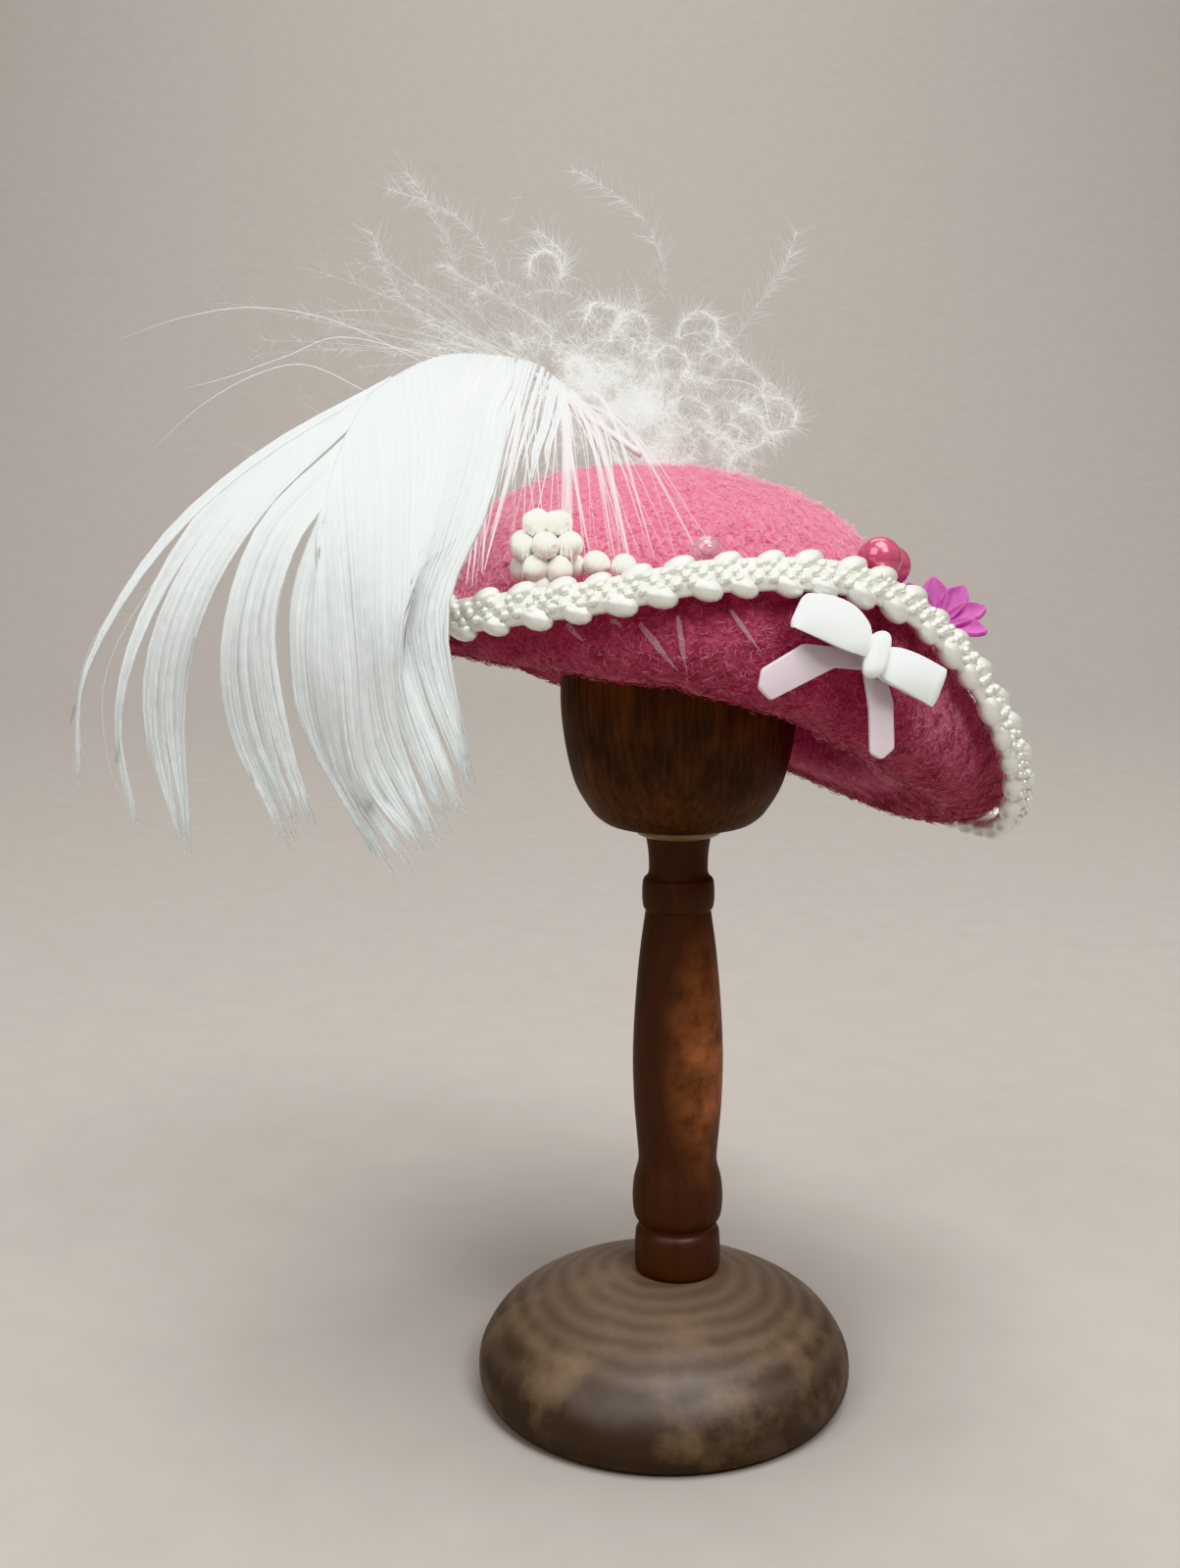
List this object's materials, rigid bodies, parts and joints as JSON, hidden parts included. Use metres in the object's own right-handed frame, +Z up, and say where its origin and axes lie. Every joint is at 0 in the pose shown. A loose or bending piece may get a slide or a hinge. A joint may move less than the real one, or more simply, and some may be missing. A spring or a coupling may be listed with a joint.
{
  "type": "doll's felt hat on a turned wooden hat stand",
  "caption": "Doll's pink felt hat with its brim cocked up, trimmed with braid, beads, a bow, a flower and a curled feather, on a small turned wooden stand.",
  "frame": {"origin": "centre of the stand's flat underside", "axes": "+Z up along the stand, +X towards the hat's drooping right end, -Y towards the trimmed side"},
  "size_m": [0.0673, 0.0456, 0.0846],
  "materials": {
    "stand_wood": "worn dark stain",
    "head_wood": "dark stain",
    "felt": "fuzzy pink wool felt",
    "braid": "white satin cord",
    "bead": "glossy ivory white",
    "pearl": "pink pearl lustre",
    "bow": "frosted milky white",
    "flower": "dyed magenta",
    "feather": "satin white barbs",
    "down": "soft white down"
  },
  "bodies": {
    "root": {"stand_base": "stand_wood", "stand_stem": "stand_wood", "stand_head": "head_wood", "felt_body": "felt", "brim_braid": "braid", "bead_cluster": "bead", "pearl_front": "pearl", "pearl_side": "pearl", "pearl_back": "pearl", "bow": "bow", "flower": "flower", "feather": "feather", "down_plume": "down"}
  },
  "joints": []
}
